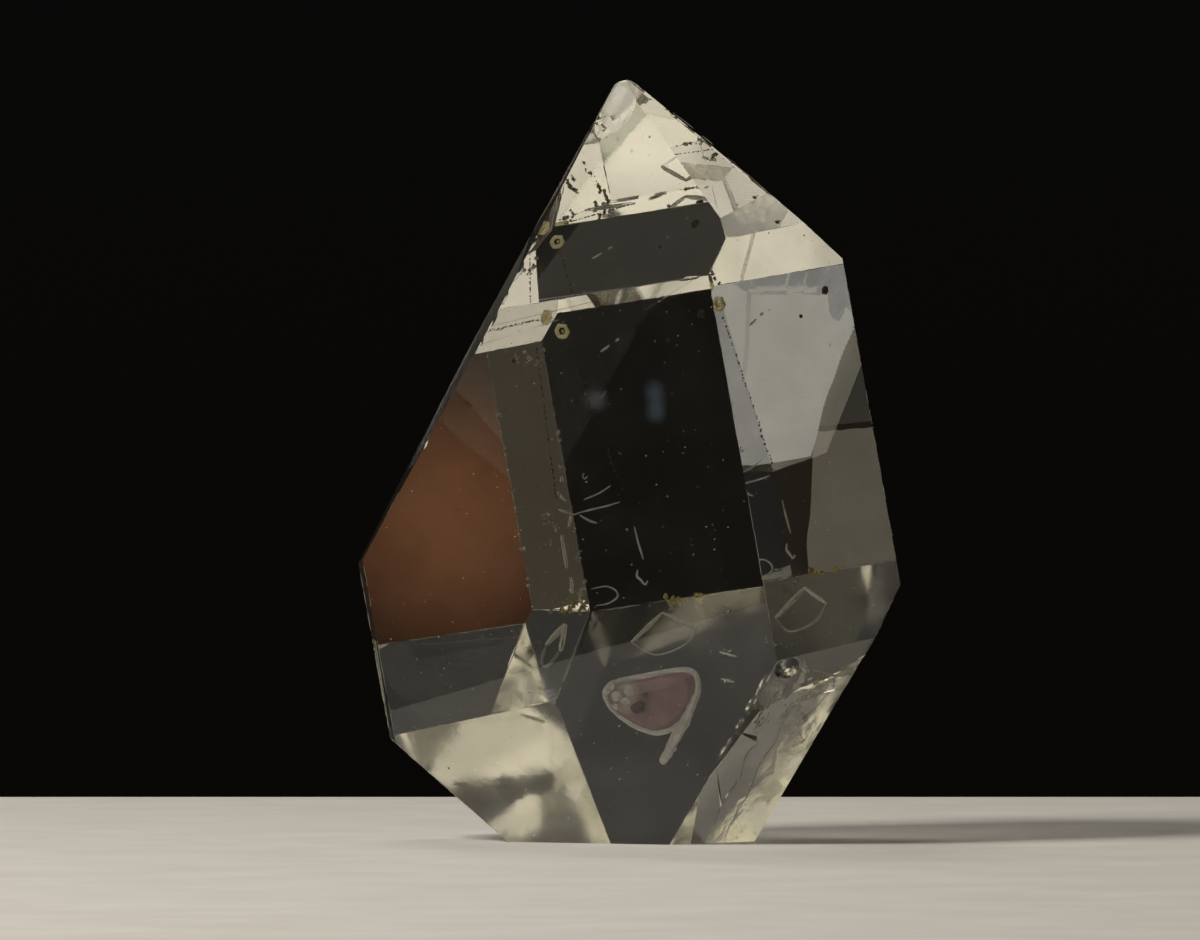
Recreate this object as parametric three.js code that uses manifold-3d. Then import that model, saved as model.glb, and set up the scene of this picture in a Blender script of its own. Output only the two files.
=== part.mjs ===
// A herkimer diamond: one clear quartz crystal, six-sided, with a point at both ends.
// Millimetres, +Z up, X to the right, Y to the back. The origin is on the ground, under the middle
// of the crystal. It stands on a small flat spot where it was once joined to its rock.
import * as THREE from "three";
import { mergeVertices } from "three/addons/utils/BufferGeometryUtils.js";
import Module from "manifold-3d";

// Pose of the crystal.
const leanLeft = 10.2; // degrees that the long axis leans to the left
const leanForward = 2.76; // and to the front
const frontHeading = -25.2; // heading of the big front face, from straight front towards the right
// The middle of the prism, from the origin.
const middle = new THREE.Vector3(-0.09, -0.07, 9.72);

// Angle between the long axis and the line square to a point face, the same in every quartz.
const pointPole = 51.79;

// Distance of each face from the middle, in order of heading from the big front face to the left.
const headings = ["front", "left", "backLeft", "back", "right", "frontRight"];
const sideDistance = { front: 3.284, left: 5.99, backLeft: 3.941, back: 3.956, right: 4.486 };
sideDistance.frontRight = 4.872;
const upperDistance = { front: 3.61, left: 2.85, backLeft: 3.508, back: 3.838, right: 4.416 };
upperDistance.frontRight = 5.257;
const lowerDistance = { front: 8.836, left: 8.88, backLeft: 7.225, back: 6.206, right: 6.774 };
lowerDistance.frontRight = 7.662;
const upperLeftTurn = -3.94; // the narrow upper left face grew a little out of true

// Worn top: the sharp point is rounded to this radius, and a flake has come off its front.
const topRadius = 0.3;
const topRings = [8, 24, 40];
const topSteps = 12;

// Wavy edges of the growth steps, across and up the face, and a line well outside the face.
const upperStep = [
  [1.6, -2.2], [1.05, -2.42], [0.77, -2.62], [0.46, -2.7], [0.1, -2.56], [-0.15, -2.66],
  [-0.45, -2.52], [-0.72, -2.66], [-0.86, -2.98], [-0.8, -3.3], [-0.96, -3.6], [-0.94, -3.95],
  [-1.12, -4.3], [-1.1, -4.8], [-1.36, -5.3], [-1.5, -6.2], [-1.7, -8],
];
const lowerStep = [
  [2.2, -2.9], [1.1, -3.05], [0.4, -3.1], [-0.05, -3.26], [-0.3, -3.6], [-0.36, -4.1],
  [-0.62, -4.6], [-0.7, -5.3], [-0.98, -6.2], [-1.1, -8],
];
const farSide = [[6, -9], [6, -2.2]];

const blankSize = 60;
const ballDetail = 9;

const wasm = await Module();
wasm.setup();

const toRadians = THREE.MathUtils.degToRad;
const pose = new THREE.Euler(toRadians(leanForward), -toRadians(leanLeft), 0, "YXZ");
const axisUp = new THREE.Vector3(0, 0, 1).applyEuler(pose);
const axisRight = new THREE.Vector3(1, 0, 0).applyEuler(pose);
const axisFront = new THREE.Vector3(0, -1, 0).applyEuler(pose);

// Unit vector at a heading round the long axis and an angle down from it.
function direction(heading, pole) {
  const a = toRadians(heading);
  const p = toRadians(pole);
  const out = new THREE.Vector3();
  out.addScaledVector(axisRight, Math.sin(a) * Math.sin(p));
  out.addScaledVector(axisFront, Math.cos(a) * Math.sin(p));
  out.addScaledVector(axisUp, Math.cos(p));
  return out;
}

// One face as a plane, with the directions across it and up it.
function face(heading, pole, distance) {
  const normal = direction(heading, pole);
  const across = new THREE.Vector3().crossVectors(axisUp, normal).normalize();
  const up = new THREE.Vector3().crossVectors(normal, across);
  const foot = middle.clone().addScaledVector(normal, distance);
  return { normal, across, up, foot };
}

function makeFaces() {
  const faces = {};
  headings.forEach((name, i) => {
    const heading = frontHeading - 60 * i;
    const upperHeading = name === "left" ? heading + upperLeftTurn : heading;
    faces["side-" + name] = face(heading, 90, sideDistance[name]);
    faces["upper-" + name] = face(upperHeading, pointPole, upperDistance[name]);
    faces["lower-" + name] = face(heading, 180 - pointPole, lowerDistance[name]);
  });
  return faces;
}

// A three.js geometry as a solid.
function solid(geometry) {
  const plain = geometry.index ? geometry.toNonIndexed() : geometry;
  const bare = new THREE.BufferGeometry();
  bare.setAttribute("position", plain.getAttribute("position"));
  const merged = mergeVertices(bare, 1e-4);
  const vertProperties = new Float32Array(merged.attributes.position.array);
  const triVerts = new Uint32Array(merged.index.array);
  return new wasm.Manifold(new wasm.Mesh({ numProp: 3, vertProperties, triVerts }));
}

// Cuts away what lies outside the plane through a point, square to a direction.
function trim(body, normal, point) {
  return body.trimByPlane([-normal.x, -normal.y, -normal.z], -normal.dot(point));
}

// A point on a face, given by its place across and up the face.
function onFace(plane, across, up) {
  return plane.foot.clone().addScaledVector(plane.across, across).addScaledVector(plane.up, up);
}

// An oval ball that bites a shallow dish out of the surface at a point.
// depth is how far it goes in, width and height are its reach across and up the surface.
function dish(point, outward, upHint, width, height, depth) {
  const reach = (width * width + depth * depth) / (2 * depth);
  const side = new THREE.Vector3().crossVectors(upHint, outward).normalize();
  const up = new THREE.Vector3().crossVectors(outward, side);
  const turn = new THREE.Matrix4().makeBasis(side, up, outward);
  turn.setPosition(point.clone().addScaledVector(outward, reach - depth));
  const ball = new THREE.IcosahedronGeometry(reach, ballDetail);
  ball.scale(1, height / width, 1);
  ball.applyMatrix4(turn);
  return solid(ball);
}

// The dish of a chip on one face, turned in the face by some degrees.
function faceChip(plane, across, up, width, height, depth, turnDegrees = 0) {
  const along = plane.up.clone().applyAxisAngle(plane.normal, toRadians(turnDegrees));
  return dish(onFace(plane, across, up), plane.normal, along, width, height, depth);
}

// The dish of a chip on the edge between two faces, close to a point on the first.
function edgeChip(first, second, across, up, width, height, depth) {
  const outward = first.normal.clone().add(second.normal).normalize();
  const along = new THREE.Vector3().crossVectors(first.normal, second.normal).normalize();
  const start = onFace(first, across, up);
  const gap = second.foot.clone().sub(start).dot(second.normal);
  const inFace = new THREE.Vector3().crossVectors(along, first.normal);
  start.addScaledVector(inFace, gap / inFace.dot(second.normal));
  return dish(start, outward, along, width, height, depth);
}

// A step down in a face: everything of the face beyond a wavy line lies lower by the depth.
function ledge(plane, line, beyond, depth) {
  const curve = new THREE.SplineCurve(line.map((p) => new THREE.Vector2(p[0], p[1])));
  const outline = curve.getPoints(70).concat(beyond.map((p) => new THREE.Vector2(p[0], p[1])));
  const slab = new THREE.ExtrudeGeometry(new THREE.Shape(outline), { depth: 2, bevelEnabled: false });
  const place = new THREE.Matrix4().makeBasis(plane.across, plane.up, plane.normal);
  place.setPosition(plane.foot.clone().addScaledVector(plane.normal, -depth));
  slab.applyMatrix4(place);
  return solid(slab);
}

// The worn top: planes that touch a small ball held in the point.
function roundTop(body, faces) {
  const tip = corner(faces["upper-front"], faces["upper-left"], faces["upper-right"]);
  const centre = tip.clone().addScaledVector(axisUp, -topRadius / Math.cos(toRadians(pointPole)));
  let worn = trim(body, axisUp, centre.clone().addScaledVector(axisUp, topRadius));
  topRings.forEach((pole, ring) => {
    for (let i = 0; i < topSteps; i++) {
      const out = direction((360 * (i + ring / 2)) / topSteps, pole);
      worn = trim(worn, out, centre.clone().addScaledVector(out, topRadius));
    }
  });
  return worn;
}

// The point where three planes meet.
function corner(a, b, c) {
  const rows = [a, b, c].flatMap((plane) => plane.normal.toArray());
  const distances = new THREE.Vector3(a.normal.dot(a.foot), b.normal.dot(b.foot), c.normal.dot(c.foot));
  return distances.applyMatrix3(new THREE.Matrix3().set(...rows).invert());
}

function crystal() {
  const faces = makeFaces();
  let body = solid(new THREE.BoxGeometry(blankSize, blankSize, blankSize));
  Object.values(faces).forEach((plane) => {
    body = trim(body, plane.normal, plane.foot);
  });
  body = roundTop(body, faces);
  body = trim(body, new THREE.Vector3(0, 0, -1), new THREE.Vector3(0, 0, 0));

  const front = faces["side-front"];
  const frontRight = faces["side-frontRight"];
  const upperFront = faces["upper-front"];
  const upperLeft = faces["upper-left"];
  const lowerFrontRight = faces["lower-frontRight"];
  const lowerRight = faces["lower-right"];

  const cuts = [
    // the flake off the front of the point, and two small ones beside it
    faceChip(upperFront, 1.1, 3.72, 0.42, 0.62, 0.07, -20),
    faceChip(upperFront, 0.86, 3.34, 0.2, 0.3, 0.04, 15),
    // chips down the upper left edge
    edgeChip(upperFront, upperLeft, -0.15, 0.65, 0.12, 0.2, 0.035),
    edgeChip(upperFront, upperLeft, -0.4, 0.01, 0.16, 0.26, 0.05),
    edgeChip(upperFront, upperLeft, -0.68, -0.56, 0.1, 0.18, 0.03),
    edgeChip(front, upperLeft, -1.06, 1.37, 0.12, 0.22, 0.04),
    edgeChip(front, upperLeft, -1.43, 0.96, 0.1, 0.14, 0.03),
    edgeChip(front, upperLeft, -3.02, -0.96, 0.1, 0.16, 0.03),
    // a nick in the edge above the big face
    edgeChip(front, upperFront, 3.3, 1.64, 0.07, 0.24, 0.03),
    // the hollow at the corner of the big face, the right face and the one below it
    faceChip(lowerFrontRight, -0.66, -2.12, 0.34, 0.26, 0.075, -30),
    // shallow shell-like bites along the edge down from that corner
    edgeChip(front, lowerFrontRight, 3.3, -6.6, 0.16, 0.34, 0.05),
    edgeChip(front, lowerFrontRight, 2.95, -7.0, 0.18, 0.26, 0.055),
    edgeChip(front, lowerFrontRight, 2.67, -7.4, 0.12, 0.2, 0.04),
    edgeChip(front, lowerFrontRight, 2.3, -7.9, 0.14, 0.36, 0.045),
    // a notch on the lower right edge, and a pit beside it
    edgeChip(lowerFrontRight, lowerRight, 1.0, -2.5, 0.14, 0.2, 0.05),
    faceChip(lowerFrontRight, 0.3, -3.72, 0.1, 0.06, 0.025, -20),
    // two short dashes in the big face
    faceChip(front, 2.66, -5.92, 0.13, 0.04, 0.015, 25),
    faceChip(front, 2.56, -6.44, 0.1, 0.035, 0.015, 10),
    // growth steps low on the right, one inside the other
    ledge(lowerFrontRight, upperStep, farSide, 0.05),
    ledge(lowerFrontRight, lowerStep, farSide, 0.09),
  ];
  return body.subtract(wasm.Manifold.union(cuts));
}

function toGeometry(body) {
  const mesh = body.getMesh();
  const corners = new Float32Array(mesh.vertProperties);
  const triangles = new Uint32Array(mesh.triVerts);
  const geometry = new THREE.BufferGeometry();
  geometry.setAttribute("position", new THREE.BufferAttribute(corners, 3));
  geometry.setIndex(new THREE.BufferAttribute(triangles, 1));
  geometry.computeVertexNormals();
  return geometry;
}

const part = new THREE.Group();
const clearQuartz = new THREE.MeshStandardMaterial({ color: 0xe6e7df, roughness: 0.04, metalness: 0 });
const diamond = new THREE.Mesh(toGeometry(crystal()), clearQuartz);
diamond.name = "herkimer_diamond";
part.add(diamond);

export default part;
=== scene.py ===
# A clear quartz crystal of the Herkimer kind: six sides and a point at each end, the lower one cut flat.
# Metres, +Z up, +X to the right and +Y away from the front. The crystal stands on z = 0.

import math
import random

import bmesh
import bpy
from mathutils import Euler, Matrix, Vector


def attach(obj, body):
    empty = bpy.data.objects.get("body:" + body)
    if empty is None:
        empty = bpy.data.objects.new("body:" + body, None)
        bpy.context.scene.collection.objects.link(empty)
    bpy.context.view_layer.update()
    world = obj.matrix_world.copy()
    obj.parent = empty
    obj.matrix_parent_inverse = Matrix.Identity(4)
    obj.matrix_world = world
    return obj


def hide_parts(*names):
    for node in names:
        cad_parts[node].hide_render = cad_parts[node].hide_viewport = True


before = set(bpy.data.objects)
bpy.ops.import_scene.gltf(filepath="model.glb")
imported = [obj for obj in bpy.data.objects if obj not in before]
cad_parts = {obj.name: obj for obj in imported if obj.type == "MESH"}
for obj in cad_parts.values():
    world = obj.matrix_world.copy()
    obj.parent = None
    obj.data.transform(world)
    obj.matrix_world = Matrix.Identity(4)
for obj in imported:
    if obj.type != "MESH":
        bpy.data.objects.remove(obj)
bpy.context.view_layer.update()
nodeName = "herkimer_diamond"
mm = 0.001  # the sizes below are in millimetres


def toLinear(hexColour):  # sRGB hex to the linear colour that a shader takes
    channels = [int(hexColour[i : i + 2], 16) / 255 for i in (1, 3, 5)]
    return [c / 12.92 if c <= 0.04045 else ((c + 0.055) / 1.055) ** 2.4 for c in channels] + [1.0]


def addNode(tree, kind, settings=None, links=None):
    node = tree.nodes.new(kind)
    for name, value in (settings or {}).items():
        if isinstance(name, int) or name in node.inputs:
            node.inputs[name].default_value = value
        else:
            setattr(node, name, value)
    for name, source in (links or {}).items():
        tree.links.new(source, node.inputs[name])
    return node


def newMaterial(name):
    material = bpy.data.materials.new(name)
    material.use_nodes = True
    material.node_tree.nodes.clear()
    output = addNode(material.node_tree, "ShaderNodeOutputMaterial")
    return material, material.node_tree, output


def meshObject(name, bm, material):
    mesh = bpy.data.meshes.new(name)
    bm.to_mesh(mesh)
    bm.free()
    mesh.materials.append(material)
    piece = bpy.data.objects.new(name, mesh)
    bpy.context.scene.collection.objects.link(piece)
    return piece


crystal = {
    "leanLeft": 10.2,  # degrees that the long axis leans to the left
    "leanForward": 2.76,  # and towards the front
    "frontHeading": -25.2,  # the way the big front face looks, round the long axis
    "pointPole": 51.79,  # from the long axis to the line square to a point face
    "upperLeftTurn": -3.94,  # that narrow face grew a little out of true
    "middle": (-0.09, -0.07, 9.72),  # a place on the long axis
    "edgeClear": 0.03,  # what lies on a face keeps this far from the next one
    "footClear": 0.1,  # and this far above the ground
    "weld": 0.0001,
    "flat": 0.05,  # degrees within which small faces join into one
    "absorb": "#FDFCF5",  # what a long path through the quartz keeps
    "absorbDensity": 100.0,  # per metre
    "ior": 1.544,
    "striation": 0.09,  # between growth lines, which lie across the sides
    "striationRelief": 0.000004,
    "striationDrift": 30.0,  # radians, so that the lines wander
    "waviness": 2.2,  # size of the slow swells in a face
    "wavinessRelief": 0.0016,
    "spotCore": 0.55,  # share of a frosted spot's radius that is frosted throughout
    "frostGrain": 0.42,
    "frostRoughness": 0.16,
    "etchRelief": 0.012,
    "dullRoughness": 0.11,  # of the two lower faces at the back, which solution has etched
    "dullGrain": 0.9,
    "dullRelief": 0.002,
    "skin": 0.01,  # how deep a place still counts as on a face
    "flakeSpot": (1.08, 4.05),  # across and up the upper front face
    "flakeRadius": 0.56,
    "flakeRoughness": 0.5,  # of the flake off the top
    "hazePatch": 1.5,  # size of the patches of dusty film
    "hazeWisps": 0.65,  # how strong the fine part of its pattern is
    "hazeFrom": 0.42,  # where in the cloudy pattern the film begins
    "hazeFull": 0.75,  # and where it is thickest
    "haze": 0.006,  # share of light that it scatters there
    "moteGap": 0.2,
    "moteSize": 0.1,  # radius as a share of the gap
    "moteSkip": 0.6,  # about the share of places that have no mote
    "mote": 0.25,  # share of light that a dust mote scatters
}

turn = Matrix.Rotation(math.radians(-crystal["leanLeft"]), 3, "Y")
pose = turn @ Matrix.Rotation(math.radians(crystal["leanForward"]), 3, "X")
axisRight = pose @ Vector((1, 0, 0))
axisFront = pose @ Vector((0, -1, 0))
axisUp = pose @ Vector((0, 0, 1))
nodeCorners = [v.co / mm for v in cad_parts[nodeName].data.vertices]
aroundNames = ["front", "left", "backLeft", "back", "right", "frontRight"]
poles = {"side": 90, "upper": crystal["pointPole"], "lower": 180 - crystal["pointPole"]}


class Face:
    # One face of the crystal, found from its direction: the solid reaches furthest there.
    def __init__(self, kind, where):
        heading = math.radians(crystal["frontHeading"] - 60 * aroundNames.index(where))
        heading += math.radians(crystal["upperLeftTurn"]) if (kind, where) == ("upper", "left") else 0
        pole = math.radians(poles[kind])
        level = axisRight * math.sin(heading) + axisFront * math.cos(heading)
        self.normal = level * math.sin(pole) + axisUp * math.cos(pole)
        self.across = axisUp.cross(self.normal).normalized()
        self.up = self.normal.cross(self.across)
        self.reach = max(self.normal.dot(corner) for corner in nodeCorners)
        middle = Vector(crystal["middle"])
        self.foot = middle + self.normal * (self.reach - self.normal.dot(middle))

    def at(self, across, up, depth=0.0):  # a point on the face, or below it
        return self.foot + self.across * across + self.up * up - self.normal * depth

    def to(self, start, way, other):  # from a point along a way to another face
        gap = (other.foot - start).dot(other.normal)
        return start + way * (gap / way.dot(other.normal))


sides = {where: Face("side", where) for where in aroundNames}
uppers = {where: Face("upper", where) for where in aroundNames}
lowers = {where: Face("lower", where) for where in aroundNames}
allFaces = [*sides.values(), *uppers.values(), *lowers.values()]


def onCrystal(spot, *touching):  # true where a point lies on the crystal, clear of every other face's edge
    others = [face for face in allFaces if face not in touching]
    inside = [face.normal.dot(spot) < face.reach - crystal["edgeClear"] for face in others]
    return spot.z > crystal["footClear"] and all(inside)


def clearQuartz():
    # Clear rock crystal as it grew: glass-bright, with hair-fine growth lines across the sides, slow swells
    # that bend what shows through, frost where growth steps crowd, and a thin film of dust and motes.
    material, tree, output = newMaterial("clearQuartzGrowthFaces")
    spot = addNode(tree, "ShaderNodeTexCoord").outputs["Object"]
    along = addNode(tree, "ShaderNodeVectorMath", {"operation": "DOT_PRODUCT", 1: axisUp}, {0: spot})
    settings = {"operation": "MULTIPLY", 1: 2 * math.pi / (crystal["striation"] * mm)}
    phase = addNode(tree, "ShaderNodeMath", settings, {0: along.outputs["Value"]})
    slow = {"Scale": 1 / (crystal["waviness"] * mm), "Detail": 1.0}
    swell = addNode(tree, "ShaderNodeTexNoise", slow, {"Vector": spot})
    settings = {"operation": "MULTIPLY_ADD", 1: crystal["striationDrift"]}
    drift = addNode(tree, "ShaderNodeMath", settings, {0: swell.outputs["Fac"], 2: phase.outputs[0]})
    lines = addNode(tree, "ShaderNodeMath", {"operation": "SINE"}, {0: drift.outputs[0]})
    settings = {"operation": "MULTIPLY", 1: crystal["wavinessRelief"] * mm}
    swellHeight = addNode(tree, "ShaderNodeMath", settings, {0: swell.outputs["Fac"]})
    settings = {"operation": "MULTIPLY_ADD", 1: crystal["striationRelief"] * mm}
    lineHeight = addNode(tree, "ShaderNodeMath", settings, {0: lines.outputs[0], 2: swellHeight.outputs[0]})

    frost = None
    for face, across, up, radius in frostSpots():
        settings = {"operation": "DISTANCE", 1: face.at(across, up) * mm}
        away = addNode(tree, "ShaderNodeVectorMath", settings, {0: spot})
        settings = {"From Min": radius * mm, "From Max": radius * crystal["spotCore"] * mm}
        settings["interpolation_type"] = "SMOOTHSTEP"
        near = addNode(tree, "ShaderNodeMapRange", settings, {"Value": away.outputs["Value"]}).outputs[0]
        if frost:
            near = addNode(tree, "ShaderNodeMath", {"operation": "MAXIMUM"}, {0: frost, 1: near}).outputs[0]
        frost = near

    dull = None
    skin = crystal["skin"]
    for face in (lowers["back"], lowers["backLeft"]):
        settings = {"operation": "DOT_PRODUCT", 1: face.normal}
        outward = addNode(tree, "ShaderNodeVectorMath", settings, {0: spot})
        settings = {"From Min": (face.reach - 2 * skin) * mm, "From Max": (face.reach - skin) * mm}
        near = addNode(tree, "ShaderNodeMapRange", settings, {"Value": outward.outputs["Value"]}).outputs[0]
        if dull:
            near = addNode(tree, "ShaderNodeMath", {"operation": "MAXIMUM"}, {0: dull, 1: near}).outputs[0]
        dull = near
    coarse = {"Scale": 1 / (crystal["dullGrain"] * mm), "Detail": 3.0}
    dullGrain = addNode(tree, "ShaderNodeTexNoise", coarse, {"Vector": spot})
    etched = {0: dull, 1: dullGrain.outputs["Fac"]}
    dulled = addNode(tree, "ShaderNodeMath", {"operation": "MULTIPLY"}, etched)
    settings = {"operation": "MULTIPLY_ADD", 1: crystal["dullRelief"] * mm}
    dullHeight = addNode(tree, "ShaderNodeMath", settings, {0: dulled.outputs[0], 2: lineHeight.outputs[0]})
    settings = {"operation": "MULTIPLY", 1: crystal["dullRoughness"]}
    dullRough = addNode(tree, "ShaderNodeMath", settings, {0: dulled.outputs[0]})

    fine = {"Scale": 1 / (crystal["frostGrain"] * mm), "Detail": 3.0}
    frostGrain = addNode(tree, "ShaderNodeTexNoise", fine, {"Vector": spot})
    crowded = {0: frost, 1: frostGrain.outputs["Fac"]}
    patchy = addNode(tree, "ShaderNodeMath", {"operation": "MULTIPLY"}, crowded)
    settings = {"operation": "MULTIPLY_ADD", 1: crystal["etchRelief"] * mm}
    height = addNode(tree, "ShaderNodeMath", settings, {0: patchy.outputs[0], 2: dullHeight.outputs[0]})
    settings = {"Distance": 1.0, "Strength": 1.0}  # so that the heights count in metres
    relief = addNode(tree, "ShaderNodeBump", settings, {"Height": height.outputs[0]})

    settings = {"operation": "MULTIPLY_ADD", 1: crystal["frostRoughness"]}
    stepRough = addNode(tree, "ShaderNodeMath", settings, {0: patchy.outputs[0], 2: dullRough.outputs[0]})
    settings = {"operation": "DISTANCE", 1: uppers["front"].at(*crystal["flakeSpot"]) * mm}
    away = addNode(tree, "ShaderNodeVectorMath", settings, {0: spot})
    radius = crystal["flakeRadius"]
    settings = {"From Min": radius * mm, "From Max": radius * crystal["spotCore"] * mm}
    settings["interpolation_type"] = "SMOOTHSTEP"
    flake = addNode(tree, "ShaderNodeMapRange", settings, {"Value": away.outputs["Value"]})
    settings = {"operation": "MULTIPLY_ADD", 1: crystal["flakeRoughness"]}
    rough = addNode(tree, "ShaderNodeMath", settings, {0: flake.outputs[0], 2: stepRough.outputs[0]})

    film = {"Scale": 1 / (crystal["hazePatch"] * mm), "Detail": 3.0, "Roughness": crystal["hazeWisps"]}
    cloud = addNode(tree, "ShaderNodeTexNoise", film, {"Vector": spot})
    settings = {"From Min": crystal["hazeFrom"], "From Max": crystal["hazeFull"], "To Max": crystal["haze"]}
    haze = addNode(tree, "ShaderNodeMapRange", settings, {"Value": cloud.outputs["Fac"]})
    settings = {"Scale": 1 / (crystal["moteGap"] * mm)}
    cells = addNode(tree, "ShaderNodeTexVoronoi", settings, {"Vector": spot})
    settings = {"From Min": crystal["moteSize"], "From Max": 0.0, "To Max": 2 * crystal["mote"]}
    mote = addNode(tree, "ShaderNodeMapRange", settings, {"Value": cells.outputs["Distance"]})
    settings = {"operation": "GREATER_THAN", 1: crystal["moteSkip"]}
    chosen = addNode(tree, "ShaderNodeMath", settings, {0: cells.outputs["Color"]})
    shown = {0: mote.outputs[0], 1: chosen.outputs[0]}
    motes = addNode(tree, "ShaderNodeMath", {"operation": "MULTIPLY"}, shown)
    dusty = addNode(tree, "ShaderNodeMath", {"operation": "ADD"}, {0: motes.outputs[0], 1: haze.outputs[0]})
    clean = addNode(tree, "ShaderNodeMath", {"operation": "SUBTRACT", 0: 1.0}, {1: dusty.outputs[0]})

    settings = {"Base Color": (1, 1, 1, 1), "IOR": crystal["ior"]}
    links = {"Roughness": rough.outputs[0], "Normal": relief.outputs[0]}
    links["Transmission Weight"] = clean.outputs[0]
    surface = addNode(tree, "ShaderNodeBsdfPrincipled", settings, links)
    tree.links.new(surface.outputs[0], output.inputs["Surface"])
    settings = {"Color": toLinear(crystal["absorb"]), "Density": crystal["absorbDensity"]}
    body = addNode(tree, "ShaderNodeVolumeAbsorption", settings)
    tree.links.new(body.outputs[0], output.inputs["Volume"])
    return material


def frostSpots():  # face, across and up it, and how far the frost reaches
    step = lowers["frontRight"]
    return [
        (step, -0.7, -2.5, 0.7),
        (step, -0.3, -3.6, 0.9),
        (step, -0.8, -4.6, 0.9),
        (step, 0.4, -4.4, 0.9),
        (step, -0.9, -5.8, 0.9),
    ]


def buildCrystal():
    # The solid's own mesh, with the small faces that lie flat together joined into whole ones.
    bm = bmesh.new()
    bm.from_mesh(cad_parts[nodeName].data)
    bmesh.ops.remove_doubles(bm, verts=bm.verts, dist=crystal["weld"] * mm)
    flat = math.radians(crystal["flat"])
    bmesh.ops.dissolve_limit(bm, angle_limit=flat, verts=bm.verts, edges=bm.edges)
    piece = meshObject("crystal", bm, clearQuartz())
    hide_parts(nodeName)
    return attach(piece, "root")


buildCrystal()
print("crystal built")

crumb = {  # shares of a grain's radius
    "widths": (0.7, 1.3),
    "corners": (0.72, 1.2),
    "turned": (0, 6.28),  # radians
}


def addGrain(bm, centre, radius, normal, flat=0.6):
    # A rough grain: an uneven lump, pressed a little flat against its face.
    squash = normal.to_track_quat("Z", "Y").to_matrix().to_4x4()
    squash = squash @ Matrix.Rotation(random.uniform(*crumb["turned"]), 4, "Z")
    widths = [radius * random.uniform(*crumb["widths"]) for _ in range(2)]
    matrix = Matrix.Translation(centre * mm) @ squash @ Matrix.Diagonal((*widths, radius * flat, 1))
    made = bmesh.ops.create_icosphere(bm, subdivisions=1, radius=mm, matrix=matrix)
    for vertex in made["verts"]:
        away = vertex.co - centre * mm
        vertex.co = centre * mm + away * random.uniform(*crumb["corners"])


strand = {
    "endWidth": 0.35,  # of a thread's end, as a share of its thickness
    "uneven": (0.8, 1.2),
}


def addThread(bm, points, thickness, closed=False, sidesRound=6):
    # A round thread through points, thinner to both ends unless it is closed.
    rings = []
    count = len(points)
    for i, point in enumerate(points):
        ahead = points[(i + 1) % count] if closed or i + 1 < count else point
        behind = points[i - 1] if closed or i > 0 else point
        way = (ahead - behind).normalized()
        side = (lastSide - way * lastSide.dot(way) if i else way.orthogonal()).normalized()
        lastSide = side
        other = way.cross(side)
        swell = math.sin(math.pi * (i + 0.5) / count)
        taper = 1.0 if closed else strand["endWidth"] + (1 - strand["endWidth"]) * swell
        ring = []
        for k in range(sidesRound):
            angle = 2 * math.pi * k / sidesRound
            reach = thickness / 2 * taper * random.uniform(*strand["uneven"])
            outward = side * math.cos(angle) + other * math.sin(angle)
            ring.append(bm.verts.new((point + outward * reach) * mm))
        rings.append(ring)
    following = rings[1:] + rings[:1] if closed else rings[1:]
    for near, far in zip(rings, following):
        for k in range(sidesRound):
            bm.faces.new((near[k], near[(k + 1) % sidesRound], far[(k + 1) % sidesRound], far[k]))
    if not closed:
        bm.faces.new(list(reversed(rings[0])))
        bm.faces.new(rings[-1])


def smoothLine(points, steps=6, closed=False):  # a soft curve through points
    out = []
    count = len(points)
    spans = count if closed else count - 1
    for i in range(spans):
        a = points[(i - 1) % count] if closed or i > 0 else points[i]
        b = points[i]
        c = points[(i + 1) % count]
        d = points[(i + 2) % count] if closed or i + 2 < count else c
        for k in range(steps):
            t = k / steps
            bend = 2 * b + (c - a) * t + (2 * a - 5 * b + 4 * c - d) * t * t
            bend += (3 * b - a - 3 * c + d) * t**3
            out.append(bend / 2)
    if not closed:
        out.append(points[-1])
    return out


def finish(name, bm, material):
    bmesh.ops.recalc_face_normals(bm, faces=bm.faces)
    piece = meshObject(name, bm, material)
    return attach(piece, "root")


matt = {
    "ior": 1.5,
    "iorInQuartz": 1.1,  # of what lets some light by inside the quartz, which hardly bends it
    "relief": 0.01,
}


def mottled(name, dark, light, grainMm, roughness, seeThrough=0.0):
    # Shared make of the dull finishes: two tones in fine grains, with a matt, dusty relief.
    material, tree, output = newMaterial(name)
    spot = addNode(tree, "ShaderNodeTexCoord").outputs["Object"]
    settings = {"Scale": 1 / (grainMm * mm), "Detail": 3.0}
    grain = addNode(tree, "ShaderNodeTexNoise", settings, {"Vector": spot})
    settings = {"data_type": "RGBA", 6: toLinear(dark), 7: toLinear(light)}
    tone = addNode(tree, "ShaderNodeMix", settings, {0: grain.outputs["Fac"]})
    settings = {"Distance": matt["relief"] * mm}
    relief = addNode(tree, "ShaderNodeBump", settings, {"Height": grain.outputs["Fac"]})
    ior = matt["iorInQuartz"] if seeThrough else matt["ior"]
    settings = {"Roughness": roughness, "Transmission Weight": seeThrough, "IOR": ior}
    links = {"Base Color": tone.outputs[2], "Normal": relief.outputs[0]}
    surface = addNode(tree, "ShaderNodeBsdfPrincipled", settings, links)
    tree.links.new(surface.outputs[0], output.inputs["Surface"])
    return material


clay = {
    "dark": "#54492A",
    "light": "#B5A76C",
    "grain": 0.07,
    "seed": 11,
    "wide": 0.5,  # how far crumbs scatter across and up, as shares of a cluster's spread
    "high": 0.2,
    "smallest": 0.2,  # crumb, as a share of the largest
    "past": 0.03,  # how far past an edge a crumb may cling
    "roughness": 0.9,
}


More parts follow.
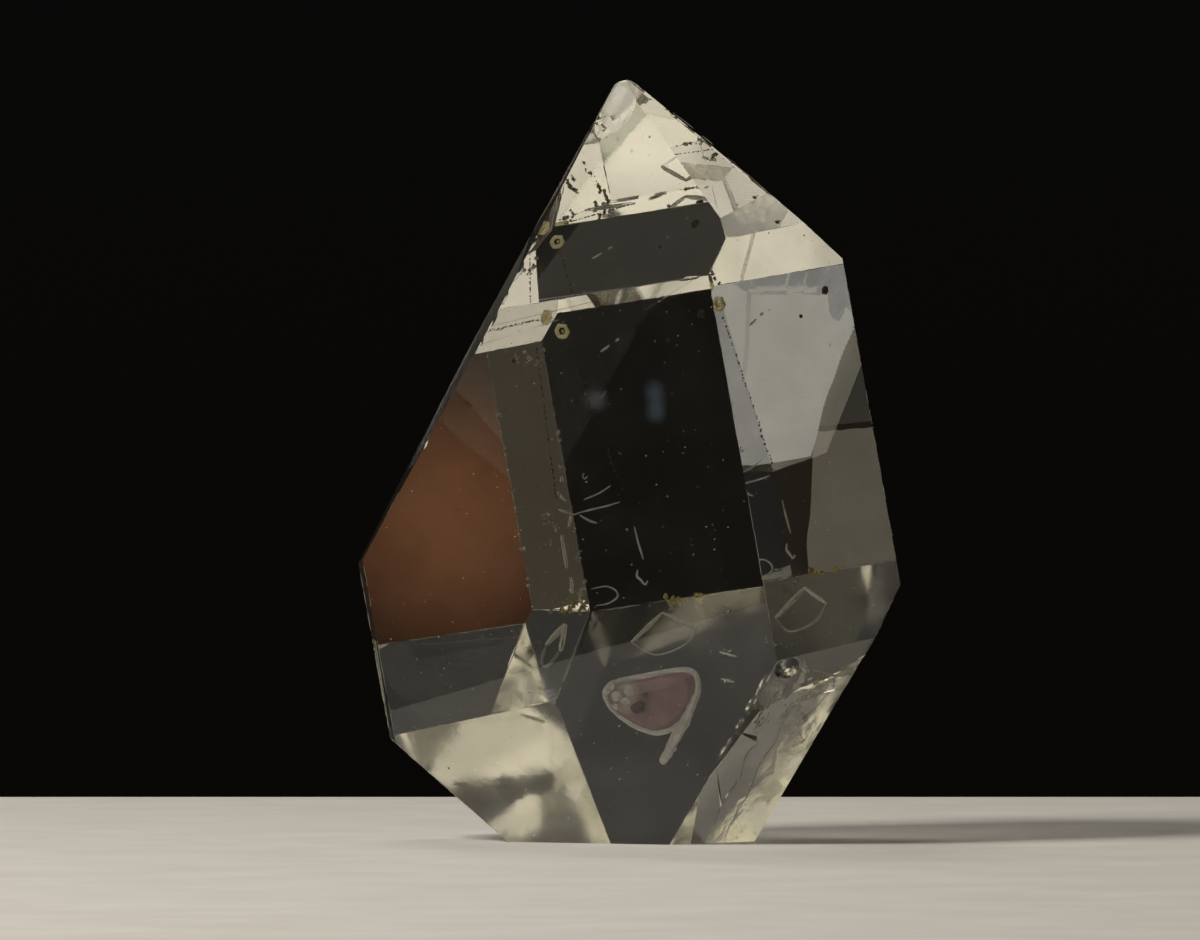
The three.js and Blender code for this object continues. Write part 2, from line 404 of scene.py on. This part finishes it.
def buildClay():
    # Iron-stained clay, dried in the crystal's edges: matt, crumbly, yellow-brown.
    random.seed(clay["seed"])
    bm = bmesh.new()
    back, backLeft = sides["back"], sides["backLeft"]
    clusters = [  # face, place across and up it, spread, number of crumbs, largest crumb
        (backLeft, -1.95, -4.84, 0.5, 44, 0.085),
        (backLeft, -1.5, -4.65, 0.3, 8, 0.05),
        (backLeft, -2.2, 0.3, 0.2, 8, 0.06),
        (back, 0.35, -5.06, 0.34, 34, 0.08),
        (back, -0.12, -5.1, 0.3, 44, 0.09),
        (back, -0.6, -5.14, 0.25, 16, 0.05),
    ]
    for face, across, up, spread, count, largest in clusters:
        for _ in range(count):
            sideways = random.gauss(0, clay["wide"]) * spread
            upward = random.gauss(0, clay["high"]) * spread
            start = face.at(across + sideways, up + upward)
            radius = largest * (clay["smallest"] + (1 - clay["smallest"]) * random.random() ** 2)
            if all(near.normal.dot(start) < near.reach + clay["past"] for near in allFaces):
                addGrain(bm, start, radius, face.normal)
    stained = mottled("ironStainedClay", clay["dark"], clay["light"], clay["grain"], clay["roughness"])
    finish("clayInEdges", bm, stained)


plate = {
    "seed": 2,
    "dark": "#B5A76C",
    "light": "#F4EBC0",
    "mottle": 0.1,
    "roughness": 0.6,
    "spot": (1.76, 0.8),  # across and up the back
    "radius": 0.13,
    "turn": 12,  # degrees
    "depth": 0.02,
    "rim": 0.09,
    "core": 0.035,  # radius of the lump in its middle
    "coreAside": 0.02,
    "coreFlat": 0.5,
}


def buildRing():
    # A six-sided plate of pale, iron-tinted mica on the back, thick at its rim.
    random.seed(plate["seed"])
    bm = bmesh.new()
    back = sides["back"]
    across, up = plate["spot"]
    corners = []
    for k in range(6):
        angle = math.radians(60 * k + plate["turn"])
        sideways = plate["radius"] * math.cos(angle)
        upward = plate["radius"] * math.sin(angle)
        corners.append(back.at(across + sideways, up + upward, plate["depth"]))
    points = [p for i in range(6) for p in (corners[i], corners[i].lerp(corners[(i + 1) % 6], 0.5))]
    addThread(bm, points, plate["rim"], closed=True)
    core = back.at(across - plate["coreAside"], up, plate["depth"] / 2)
    addGrain(bm, core, plate["core"], back.normal, plate["coreFlat"])
    mica = mottled("palePlateMica", plate["dark"], plate["light"], plate["mottle"], plate["roughness"])
    finish("paleRing", bm, mica)


buildRing()
buildClay()

dust = {
    "seed": 5,
    "dark": "#77746A",
    "light": "#DEDBD0",
    "mottle": 0.05,
    "roughness": 0.85,
    "alongEdges": 0.16,  # mean gap between the grains of a worn edge
    "edgeTop": 2.0,
    "edgeFoot": -7.0,
    "offEdge": 0.02,
    "perFace": 60,
    "onFront": 160,
    "acrossFaces": (-5, 4),
    "upFaces": (-9, 5),
    "onFaces": 0.4,  # size of the grains on the faces beside those on the edges
    "perLump": 9,
    "lumpGrain": (0.015, 0.045),
    "lumpWide": 0.06,
    "lumpHigh": 0.04,
    "lumpDepth": 0.01,
    "largest": 0.075,
    "smallest": 0.16,  # as a share of the largest
    "seeThrough": 0.4,  # share of light that a grain lets by
    "sunk": 0.5,  # how deep a grain sits, as a share of its radius
    "rub": 0.015,  # width of the pale line along an edge, partly rubbed wear and partly painted highlight
    "rubWidths": (0.5, 1.3),
    "rubShake": 0.004,
    "rubStep": 0.14,
    "rubSteps": 90,  # each way from the middle of an edge
    "rubShare": 0.85,  # chance that a rubbed line runs on past each step
    "rubTop": 15.0,
    "rubRound": 4,  # corners round a rubbed line
}


def grainSize():  # most grains are very small, a few are large
    return dust["largest"] * (dust["smallest"] + (1 - dust["smallest"]) * random.random() ** 4)


def edgeSpots(first, second):  # places down the edge between two sides
    height = dust["edgeTop"]
    while height > dust["edgeFoot"]:
        spot = first.to(first.at(0, height), first.across, second)
        if onCrystal(spot, first, second):
            yield spot
        height -= dust["alongEdges"] * random.expovariate(1)


def rubbedEdgeHighlights(bm):  # broken, uneven, hair-fine pale lines where two faces meet: rubbed wear and a painted highlight of the worn edges
    sharp = (lowers["frontRight"], uppers["left"])
    faces = [face for face in allFaces if face not in sharp]
    for i, one in enumerate(faces):
        for two in faces[i + 1 :]:
            along = one.normal.cross(two.normal)
            if along.length < 0.1:  # nearly level with each other, so that they share no edge
                continue
            start = one.to(one.foot, one.normal.cross(along), two)
            along.normalize()
            run = []
            for k in range(-dust["rubSteps"], dust["rubSteps"] + 1):
                shake = Vector([random.gauss(0, dust["rubShake"]) for _ in range(3)])
                spot = start + along * k * dust["rubStep"] + shake
                worn = spot.z < dust["rubTop"] and onCrystal(spot, one, two)
                run += [spot] if worn else []
                if run and (not worn or random.random() > dust["rubShare"]):
                    if len(run) > 2:
                        width = dust["rub"] * random.uniform(*dust["rubWidths"])
                        addThread(bm, run, width, sidesRound=dust["rubRound"])
                    run = []


def buildDust():
    # Fine quartz dust and bruised grains: pale, matt, along the edges and lightly over the faces. The
    # hair-fine lines along the edges are partly rubbed wear and partly painted highlight.
    random.seed(dust["seed"])
    bm = bmesh.new()
    rubbedEdgeHighlights(bm)
    upright = [  # two sides, and the size of the grains where they meet
        ("back", "backLeft", 0.8),
        ("back", "right", 1.0),
        ("left", "backLeft", 0.7),
        ("frontRight", "right", 0.4),
    ]
    for one, two, size in upright:
        normal = (sides[one].normal + sides[two].normal).normalized()
        for spot in edgeSpots(sides[one], sides[two]):
            radius = grainSize() * size
            loose = sides[one].across * random.gauss(0, dust["offEdge"]) - normal * radius * dust["sunk"]
            addGrain(bm, spot + loose, radius, normal)
    for face in allFaces:
        for _ in range(dust["onFront"] if face is sides["front"] else dust["perFace"]):
            spot = face.at(random.uniform(*dust["acrossFaces"]), random.uniform(*dust["upFaces"]))
            radius = grainSize() * dust["onFaces"]
            if onCrystal(spot, face):
                addGrain(bm, spot - face.normal * radius * dust["sunk"], radius, face.normal)
    lumps = [(-1.45, 0.42), (-1.85, 0.33), (-2.1, 0.25), (-1.47, -2.87), (-1.71, -3.11)]
    lumps += [(-1.55, -2.98), (-1.41, -3.44), (-2.25, -1.95), (-2.2, -3.9)]
    backLeft = sides["backLeft"]
    for across, up in lumps:
        for _ in range(dust["perLump"]):
            sideways = random.gauss(0, dust["lumpWide"])
            upward = random.gauss(0, dust["lumpHigh"])
            spot = backLeft.at(across + sideways, up + upward, dust["lumpDepth"])
            if onCrystal(spot, backLeft):
                addGrain(bm, spot, random.uniform(*dust["lumpGrain"]), backLeft.normal)
    looks = (dust["mottle"], dust["roughness"], dust["seeThrough"])
    pale = mottled("quartzDustAndEdgeHighlights", dust["dark"], dust["light"], *looks)
    finish("dustGrainsAndEdgeHighlights", bm, pale)


buildDust()

threads = {
    "seed": 8,
    "dark": "#A5A296",
    "light": "#EFEDE4",
    "mottle": 0.05,
    "roughness": 0.5,
    "seeThrough": 0.4,
    "depth": 0.02,  # below the face
    "dashDepth": 0.03,
    "dash": 0.05,
}


def buildThreads():
    # Healed cracks and etched outlines on the back, seen through the crystal as pale threads.
    random.seed(threads["seed"])
    bm = bmesh.new()
    back = sides["back"]
    low = lowers["back"]
    rhomb = [(1.3, -2.42), (0.6, -1.8), (-0.18, -2.28), (0.05, -2.66), (0.75, -2.82)]
    outline = [low.at(x, y, threads["depth"]) for x, y in rhomb]
    runs = [(outline[:2], 5, 0.085), (outline[1:3], 5, 0.09), (outline[2:] + outline[:1], 4, 0.018)]
    for corners, steps, thickness in runs:
        addThread(bm, smoothLine(corners, steps), thickness)
    marks = [  # places across and up the back face, thickness
        ([(2.15, -4.55), (1.8, -4.54), (1.6, -4.66), (1.6, -4.8), (1.85, -4.9), (2.1, -4.9)], 0.04),
        ([(2.3, -2.98), (1.9, -2.93), (1.5, -2.9), (1.15, -2.86)], 0.04),
        ([(2.1, -3.0), (1.95, -3.12), (1.75, -3.22)], 0.05),
        ([(1.95, -2.7), (1.6, -2.62), (1.3, -2.5)], 0.03),
        ([(0.93, -3.4), (0.9, -3.8), (0.86, -4.1)], 0.045),
        ([(1.03, -4.3), (1.07, -4.42), (1.0, -4.52), (0.92, -4.62), (0.85, -4.55)], 0.055),
        ([(0.98, 0.26), (0.86, 0.31), (0.76, 0.36)], 0.05),
        ([(0.6, 0.42), (0.52, 0.47)], 0.05),
        ([(1.83, -2.16), (1.88, -2.22), (1.84, -2.28), (1.78, -2.23)], 0.03),
    ]
    for places, thickness in marks:
        line = [back.at(x, y, threads["depth"]) for x, y in places]
        addThread(bm, smoothLine(line, 4), thickness)
    front = sides["front"]
    dashes = [[(2.5, -5.86), (2.68, -5.94), (2.86, -6.0)], [(2.42, -6.4), (2.58, -6.46), (2.7, -6.5)]]
    for places in dashes:
        line = [front.at(x, y, threads["dashDepth"]) for x, y in places]
        addThread(bm, smoothLine(line, 4), threads["dash"])
    looks = (threads["mottle"], threads["roughness"], threads["seeThrough"])
    healed = mottled("healedCrackThreads", threads["dark"], threads["light"], *looks)
    finish("healedThreads", bm, healed)


buildThreads()

bubble = {
    "seed": 3,
    "depth": 1.2,  # below the big front face
    "wall": 0.13,
    "wallRound": 8,
    "tail": 0.24,
    "tailRise": 0.05,  # this and the next rises are from the middle of the hollow towards the front
    "crustRise": 0.16,
    "crustGrain": (0.07, 0.14),
    "crustFlat": 0.5,
    "oreFlat": 0.45,
    "thick": 0.34,
    "weld": 0.0005,
    "domes": ((1.0, 0.0), (0.8, 0.6), (0.4, 0.95)),  # share of the outline, share of the half thickness
    "frost": "#7C786F",
    "frostLight": "#C4C0B5",
    "frostMottle": 0.12,
    "frostRoughness": 0.45,
    "fluid": "#7E5755",
    "fluidDark": "#573B3C",
    "fluidRoughness": 0.4,
    "milky": "#8E8174",
    "milkySpot": (-0.12, -6.5),  # across and up the front face
    "milkyReach": (0.3, 0.46),  # milky throughout up to the first, clear past the second
    "cloud": 0.3,
    "grain": "#1C100A",
    "grainLight": "#40281A",
    "grainMottle": 0.04,
    "grainRoughness": 0.9,
}


def buildBubble():
    # A sealed hollow of the crystal's own growing, three-cornered, with a brownish fluid, milky at one end.
    random.seed(bubble["seed"])
    front = sides["front"]
    depth = bubble["depth"]
    places = [(-0.5, -6.42), (-0.28, -6.24), (0.4, -6.2), (1.35, -6.18), (1.58, -6.42), (1.42, -6.86)]
    places += [(1.05, -7.22), (0.6, -7.36), (0.2, -7.26), (-0.2, -6.98), (-0.46, -6.66)]
    rim = smoothLine([front.at(x, y, depth) for x, y in places], 4, True)
    wall = bmesh.new()
    addThread(wall, rim, bubble["wall"], closed=True, sidesRound=bubble["wallRound"])
    tail = [(1.5, -6.7), (1.2, -7.15), (0.85, -7.55), (0.6, -7.85), (0.46, -7.98)]
    line = [front.at(x, y, depth - bubble["tailRise"]) for x, y in tail]
    addThread(wall, smoothLine(line, 5), bubble["tail"])
    crusts = [(-0.42, -6.36), (-0.46, -6.52), (-0.3, -6.28), (-0.22, -6.5)]
    crusts += [(-0.05, -6.62), (0.08, -6.44), (-0.3, -6.7)]
    for x, y in crusts:
        place = front.at(x, y, depth - bubble["crustRise"])
        addGrain(wall, place, random.uniform(*bubble["crustGrain"]), front.normal, bubble["crustFlat"])
    looks = (bubble["frostMottle"], bubble["frostRoughness"])
    frosted = mottled("frostedHollowWall", bubble["frost"], bubble["frostLight"], *looks)
    finish("bubbleWall", wall, frosted)

    centre = sum(rim, Vector()) / len(rim)
    fill = bmesh.new()
    loops = []
    for inward, lift in bubble["domes"]:
        for side in (1, -1):
            height = front.normal * side * lift * bubble["thick"] / 2
            loops.append((side, [fill.verts.new((centre.lerp(p, inward) + height) * mm) for p in rim]))
    for side in (1, -1):
        chain = [verts for made, verts in loops if made == side]
        for outer, inner in zip(chain, chain[1:]):
            for k in range(len(outer)):
                n = (k + 1) % len(outer)
                fill.faces.new((outer[k], outer[n], inner[n], inner[k]))
        fill.faces.new(chain[-1])
    bmesh.ops.remove_doubles(fill, verts=fill.verts, dist=bubble["weld"] * mm)
    finish("bubbleFluid", fill, bubbleFluid(front))

    speck = bmesh.new()
    ores = [(0.24, -6.79, 0.28, 0.25), (0.44, -6.56, 0.25, 0.11)]  # across, up, rise, radius
    for x, y, rise, radius in ores:
        addGrain(speck, front.at(x, y, depth - rise), radius, front.normal, bubble["oreFlat"])
    looks = (bubble["grainMottle"], bubble["grainRoughness"])
    ore = mottled("darkOreGrain", bubble["grain"], bubble["grainLight"], *looks)
    finish("bubbleGrain", speck, ore)


def bubbleFluid(front):
    # Brownish fluid behind a frosted wall: soft, dull, milky towards the left end.
    material, tree, output = newMaterial("brownSealedFluid")
    spot = addNode(tree, "ShaderNodeTexCoord").outputs["Object"]
    settings = {"Scale": 1 / (bubble["cloud"] * mm), "Detail": 2.0}
    cloud = addNode(tree, "ShaderNodeTexNoise", settings, {"Vector": spot})
    settings = {"data_type": "RGBA", 6: toLinear(bubble["fluidDark"]), 7: toLinear(bubble["fluid"])}
    tone = addNode(tree, "ShaderNodeMix", settings, {0: cloud.outputs["Fac"]})
    end = front.at(*bubble["milkySpot"], bubble["depth"]) * mm
    away = addNode(tree, "ShaderNodeVectorMath", {"operation": "DISTANCE", 1: end}, {0: spot})
    near, far = bubble["milkyReach"]
    settings = {"From Min": far * mm, "From Max": near * mm}
    milk = addNode(tree, "ShaderNodeMapRange", settings, {"Value": away.outputs["Value"]})
    settings = {"data_type": "RGBA", 7: toLinear(bubble["milky"])}
    both = addNode(tree, "ShaderNodeMix", settings, {0: milk.outputs[0], 6: tone.outputs[2]})
    settings = {"Roughness": bubble["fluidRoughness"]}
    surface = addNode(tree, "ShaderNodeBsdfPrincipled", settings, {"Base Color": both.outputs[2]})
    tree.links.new(surface.outputs[0], output.inputs["Surface"])
    return material


buildBubble()

grit = {
    "seed": 21,
    "dark": "#15110C",
    "light": "#4A4030",
    "mottle": 0.05,
    "roughness": 0.8,
    "speckDepth": 0.01,
    "speckFlat": 0.4,
    "crack": ((1.7, 0.5), (1.04, -2.67)),  # its two ends, across and up the back
    "alongCrack": 46,  # grains
    "offCrack": 0.012,
    "crackGrain": (0.012, 0.03),
    "crackDepth": 0.005,
    "crackUneven": 0.8,  # of the gaps between its grains
}


def buildGrit():
    # Dark specks on the back: four lone grains and a dotted crack of stained grit.
    random.seed(grit["seed"])
    bm = bmesh.new()
    back = sides["back"]
    specks = [(-1.39, 0.71, 0.1), (-0.56, 0.27, 0.06), (-0.15, -5.16, 0.09), (-0.45, -5.2, 0.06)]
    for across, up, size in specks:
        addGrain(bm, back.at(across, up, grit["speckDepth"]), size, back.normal, grit["speckFlat"])
    start, end = (Vector(place) for place in grit["crack"])
    count = grit["alongCrack"]
    for k in range(count):
        x, y = start.lerp(end, (k + random.uniform(0, grit["crackUneven"])) / count)
        place = back.at(x + random.gauss(0, grit["offCrack"]), y, grit["crackDepth"])
        addGrain(bm, place, random.uniform(*grit["crackGrain"]), back.normal)
    stained = mottled("stainedGrit", grit["dark"], grit["light"], grit["mottle"], grit["roughness"])
    finish("darkGrit", bm, stained)


buildGrit()
print("specks, threads and the sealed hollow built")

stage = {
    "farLeft": (-14.6, 24.0),  # the board's corners, a little narrower in front
    "farRight": (13.6, 24.0),
    "nearRight": (10.2, -47.0),
    "nearLeft": (-11.3, -47.0),
    "top": 0.004,  # the crystal beds this far into the soft face of the board
    "thick": 4.0,
    "colour": "#F1EEE8",
    "mottle": "#DAD5CB",
    "mottleSize": 2.6,
    "roughness": 0.7,
    "roomGlow": 0.03,  # the room in front and above, beside a white of 1
    "roomShade": 0.05,  # below the board
    "roomDark": 0.003,  # the backdrop
    "cameraDark": 0.003,
    "horizonSoft": 0.03,
    "backdrop": (0.6, 0.7),  # where it begins, as the part of a way that points straight back
    # painted light: the glow of the cards under and round the foot
    "footGlow": 0.7,
    "footLift": 0.003,  # of the glow above the board
    "footShare": 0.97,  # how much of the flat foot the glow fills, each way
    "footFront": (0, -20, 0),  # it dims with the distance from here
    "footFade": (19.6, 20.3, 0.72),  # from full at the first to the last share of it at the second
    "footColour": "#F4ECDC",
    "spillGlow": 0.24,
    "spillLift": 0.0015,
    "spillMiddle": (-3.2, -3.4, 0),
    "spillFade": (2.6, 5.6, 0.0),
    "spill": (-9, -9, 4, 3.5),  # left, low, right, high
    "cardCloud": 0.9,  # size of the soft clouds on a lit card
    "cardUneven": 0.22,  # how much they lighten and darken it
    "aim": 7,  # height that the lights look at
    "bounces": 18,  # light turns many times inside the crystal
    "clamp": 1.5,  # calms stray bright dots
    "roomColour": "#F4F0E8",
    "shadeColour": "#F4E2C8",
}


def paleBoard():
    # Smooth plaster board, rubbed: matt and pale, with a soft cloudy mottle.
    material, tree, output = newMaterial("palePlasterBoard")
    place = addNode(tree, "ShaderNodeTexCoord")
    settings = {"Scale": 1 / (stage["mottleSize"] * mm), "Detail": 4.0}
    mottle = addNode(tree, "ShaderNodeTexNoise", settings, {"Vector": place.outputs["Object"]})
    settings = {"data_type": "RGBA", 6: toLinear(stage["colour"]), 7: toLinear(stage["mottle"])}
    tone = addNode(tree, "ShaderNodeMix", settings, {0: mottle.outputs["Fac"]})
    settings = {"Roughness": stage["roughness"]}
    surface = addNode(tree, "ShaderNodeBsdfPrincipled", settings, {"Base Color": tone.outputs[2]})
    tree.links.new(surface.outputs[0], output.inputs["Surface"])
    return material


def buildBoard():
    bm = bmesh.new()
    corners = [stage[name] for name in ("farLeft", "nearLeft", "nearRight", "farRight")]
    top = bm.faces.new([bm.verts.new(Vector((x, y, stage["top"])) * mm) for x, y in corners])
    extruded = bmesh.ops.extrude_face_region(bm, geom=[top])
    low = [v for v in extruded["geom"] if isinstance(v, bmesh.types.BMVert)]
    bmesh.ops.translate(bm, verts=low, vec=(0, 0, -stage["thick"] * mm))
    bmesh.ops.recalc_face_normals(bm, faces=bm.faces)
    board = meshObject("board", bm, paleBoard())


def glowingCard(name, strength, colour, centre=None, fade=None):
    # A softly clouded, lit card. It shows from its front only, so it never stands in another view's way.
    material, tree, output = newMaterial(name)
    side = addNode(tree, "ShaderNodeNewGeometry")
    settings = {"Scale": 1 / (stage["cardCloud"] * mm), "Detail": 3.0}
    cloud = addNode(tree, "ShaderNodeTexNoise", settings, {"Vector": side.outputs["Position"]})
    darker = [c * (1 - stage["cardUneven"]) for c in toLinear(colour)]
    lighter = [c * (1 + stage["cardUneven"]) for c in toLinear(colour)]
    settings = {"data_type": "RGBA", 6: darker, 7: lighter}
    cloudy = addNode(tree, "ShaderNodeMix", settings, {0: cloud.outputs["Fac"]})
    glow = addNode(tree, "ShaderNodeEmission", {"Strength": strength}, {"Color": cloudy.outputs[2]})
    clear = addNode(tree, "ShaderNodeBsdfTransparent")
    lit = glow
    if fade:  # one that fades to nothing only adds its light to what is behind, the others are solid
        settings = {"operation": "DISTANCE", 1: centre}
        away = addNode(tree, "ShaderNodeVectorMath", settings, {0: side.outputs["Position"]})
        start, end, left = fade
        settings = {"From Min": start * mm, "From Max": end * mm}
        settings.update({"To Min": strength, "To Max": strength * left})
        settings["interpolation_type"] = "SMOOTHSTEP"
        soft = addNode(tree, "ShaderNodeMapRange", settings, {"Value": away.outputs["Value"]})
        tree.links.new(soft.outputs[0], glow.inputs["Strength"])
        if left == 0:
            lit = addNode(tree, "ShaderNodeAddShader", None, {0: glow.outputs[0], 1: clear.outputs[0]})
    faces = {0: side.outputs["Backfacing"], 1: lit.outputs[0], 2: clear.outputs[0]}
    mix = addNode(tree, "ShaderNodeMixShader", None, faces)
    tree.links.new(mix.outputs[0], output.inputs["Surface"])
    return material


def placeCard(name, corners, facing, strength, colour, centre=None, fade=None):
    bm = bmesh.new()
    card = bm.faces.new([bm.verts.new(corner * mm) for corner in corners])
    card.normal_update()
    if card.normal.dot(facing) < 0:
        card.normal_flip()
    middle = centre * mm if centre else card.calc_center_median()
    piece = meshObject(name, bm, glowingCard(name, strength, colour, middle, fade))
    piece.visible_camera = False
    piece.visible_shadow = False


def buildCard(name, heading, distance, corners, strength, colour, fade=None):
    # corners: (sideways, height) in mm on a plane at that heading and distance, seen from the crystal.
    # fade: distances from the card's middle where it starts and ends to dim, and what is left there.
    turnCard = Euler((0, 0, -math.radians(heading))).to_matrix()
    places = [turnCard @ Vector((s, distance, z)) for s, z in corners]
    placeCard(name, places, turnCard @ Vector((0, -1, 0)), strength, colour, None, fade)


def rectangle(left, low, right, high):
    return [(left, low), (right, low), (right, high), (left, high)]


def buildFootGlow():
    # Painted light: glowing cards on the board under and round the foot make it shine there, brightest to
    # the front, standing in for the light under the crystal's foot.
    feet = [c for c in nodeCorners if c.z < 0.001]
    middle = sum(feet, Vector()) / len(feet)
    ring = {(round(c.x, 3), round(c.y, 3)) for c in feet}
    ring = sorted(ring, key=lambda c: math.atan2(c[1] - middle.y, c[0] - middle.x))
    up = Vector((0, 0, 1))
    lift = up * (stage["top"] + stage["footLift"])
    share = stage["footShare"]
    foot = []
    for x, y in ring:
        foot.append(Vector((middle.x + (x - middle.x) * share, middle.y + (y - middle.y) * share, 0)) + lift)
    front = Vector(stage["footFront"])
    placeCard("footGlow", foot, up, stage["footGlow"], stage["footColour"], front, stage["footFade"])
    height = stage["top"] + stage["spillLift"]
    spill = [Vector((x, y, height)) for x, y in rectangle(*stage["spill"])]
    centre = Vector(stage["spillMiddle"])
    placeCard("spillGlow", spill, up, stage["spillGlow"], stage["footColour"], centre, stage["spillFade"])


def addAreaLight(name, heading, height, distance, size, radiance, colour):
    flat = math.cos(math.radians(height)) * distance * mm
    spot = Vector(
        (
            math.sin(math.radians(heading)) * flat,
            math.cos(math.radians(heading)) * flat,
            math.sin(math.radians(height)) * distance * mm,
        )
    )
    light = bpy.data.lights.new(name, "AREA")
    light.shape = "RECTANGLE"
    light.size = size[0] * mm
    light.size_y = size[1] * mm
    light.energy = radiance * math.pi * size[0] * size[1] * mm * mm  # radiance times pi times area
    light.color = toLinear(colour)[:3]
    lamp = bpy.data.objects.new(name, light)
    lamp.location = spot
    aim = Vector((0, 0, stage["aim"] * mm))
    lamp.rotation_euler = (-spot + aim).to_track_quat("-Z", "Y").to_euler()
    lamp.visible_camera = False
    bpy.context.scene.collection.objects.link(lamp)


def buildWorld():
    # A dim room in front of a black backdrop; the camera itself sees only the black.
    world = bpy.data.worlds.new("darkRoom")
    world.use_nodes = True
    tree = world.node_tree
    tree.nodes.clear()
    output = addNode(tree, "ShaderNodeOutputWorld")
    way = addNode(tree, "ShaderNodeTexCoord")
    parts = addNode(tree, "ShaderNodeSeparateXYZ", None, {0: way.outputs["Generated"]})
    soft = stage["horizonSoft"]
    settings = {"From Min": -soft, "From Max": soft}
    above = addNode(tree, "ShaderNodeMapRange", settings, {"Value": parts.outputs["Z"]})
    settings = {2: stage["roomShade"], 3: stage["roomGlow"]}
    height = addNode(tree, "ShaderNodeMix", settings, {0: above.outputs[0]})
    start, end = stage["backdrop"]
    settings = {"From Min": start, "From Max": end, "To Min": 1.0, "To Max": 0.0}
    front = addNode(tree, "ShaderNodeMapRange", settings, {"Value": parts.outputs["Y"]})
    links = {0: height.outputs[0], 1: front.outputs[0]}
    glow = addNode(tree, "ShaderNodeMath", {"operation": "MULTIPLY"}, links)
    settings = {"operation": "MAXIMUM", 1: stage["roomDark"]}
    room = addNode(tree, "ShaderNodeMath", settings, {0: glow.outputs[0]})
    ray = addNode(tree, "ShaderNodeLightPath")
    links = {0: ray.outputs["Is Camera Ray"], 2: room.outputs[0]}
    strength = addNode(tree, "ShaderNodeMix", {3: stage["cameraDark"]}, links)
    settings = {"data_type": "RGBA", 6: toLinear(stage["shadeColour"]), 7: toLinear(stage["roomColour"])}
    tone = addNode(tree, "ShaderNodeMix", settings, {0: above.outputs[0]})
    links = {"Color": tone.outputs[2], "Strength": strength.outputs[0]}
    light = addNode(tree, "ShaderNodeBackground", None, links)
    tree.links.new(light.outputs[0], output.inputs["Surface"])
    bpy.context.scene.world = world


view = {
    "lens": 360.0,
    "sensor": 36.0,
    "clip": 0.01,  # metres
    "place": (-0.567, -245.179, 9.69),
    "pitch": 89.5,  # degrees up from straight down
}


def buildCamera():
    camera = bpy.data.cameras.new("camera")
    camera.lens = view["lens"]
    camera.sensor_width = view["sensor"]
    camera.sensor_fit = "HORIZONTAL"
    camera.clip_start = view["clip"]
    holder = bpy.data.objects.new("camera", camera)
    holder.location = Vector(view["place"]) * mm
    holder.rotation_euler = (math.radians(view["pitch"]), 0, 0)
    bpy.context.scene.collection.objects.link(holder)
    bpy.context.scene.camera = holder


# Each card: degrees round from the back to the right, distance, corners, strength, colour, fade.
greyCorners = [(-14, 0.82), (4.45, 0.82), (4.57, 1.31), (5.08, 3.16), (7.3, 11.2), (7.3, 16), (-14, 16)]
cards = {
    "greyCard": (-46, 45, greyCorners, 1.0, "#82817F"),
    "oliveCard": (-46, 46, rectangle(4.5, -4.0, 8.0, 1.25), 1.0, "#565349"),
    "dimCard": (-46, 47, rectangle(4.4, 1.25, 9.0, 16.0), 1.0, "#2C2D29"),
    "blackFlag": (-168, 24, rectangle(3.6, -0.5, 6.6, 2.4), 0.1, "#A8B0BC"),
    "brownCard": (111, 60, rectangle(-10.4, 4.8, 5.6, 20.8), 1.0, "#5F3E2A", (0.3, 4.4, 0.14)),
    "blueBlurLow": (0, 60, rectangle(1.65, 8.5, 2.35, 9.2), 0.05, "#A8C8E0", (0.0, 0.35, 0.0)),
    "blueBlur": (0, 60.2, rectangle(1.65, 8.8, 2.35, 9.5), 0.035, "#A8C8E0", (0.0, 0.35, 0.0)),
    "blueBlurHigh": (0, 60.4, rectangle(1.6, 9.05, 2.3, 9.75), 0.04, "#A8C8E0", (0.0, 0.35, 0.0)),
    "greyBlur": (0, 60.6, rectangle(0.1, 8.75, 0.9, 9.55), 0.05, "#C8C4CC", (0.05, 0.4, 0.0)),
}

# Each light: degrees round from the back and up, distance, width and height, radiance, colour.
lights = {
    "keyLight": (-124, 44, 150, (42, 42), 29.0, "#FFFAF2"),
    "topLight": (-18, 60, 130, (40, 40), 5.0, "#FFFAF2"),
    "windowLight": (-99, 34, 120, (46, 42), 0.56, "#F4F2E8"),
    "rightLight": (77, 62, 120, (22, 22), 0.15, "#F2F4F6"),
    "backLight": (52, 36, 120, (20, 20), 0.45, "#FFF8EE"),
    "frontLight": (153, 59, 120, (26, 24), 0.09, "#FFF8EE"),
    "lowFrontLight": (159, 21, 120, (10, 10), 0.4, "#FFF8EE"),
}

buildBoard()
buildFootGlow()
for name, settings in cards.items():
    buildCard(name, *settings)
for name, settings in lights.items():
    addAreaLight(name, *settings)
buildWorld()
buildCamera()

scene = bpy.context.scene
scene.view_settings.view_transform = "Standard"
scene.cycles.max_bounces = stage["bounces"]
scene.cycles.transmission_bounces = stage["bounces"]
scene.cycles.glossy_bounces = stage["bounces"]
scene.cycles.sample_clamp_indirect = stage["clamp"]
print("stage, light and camera ready")
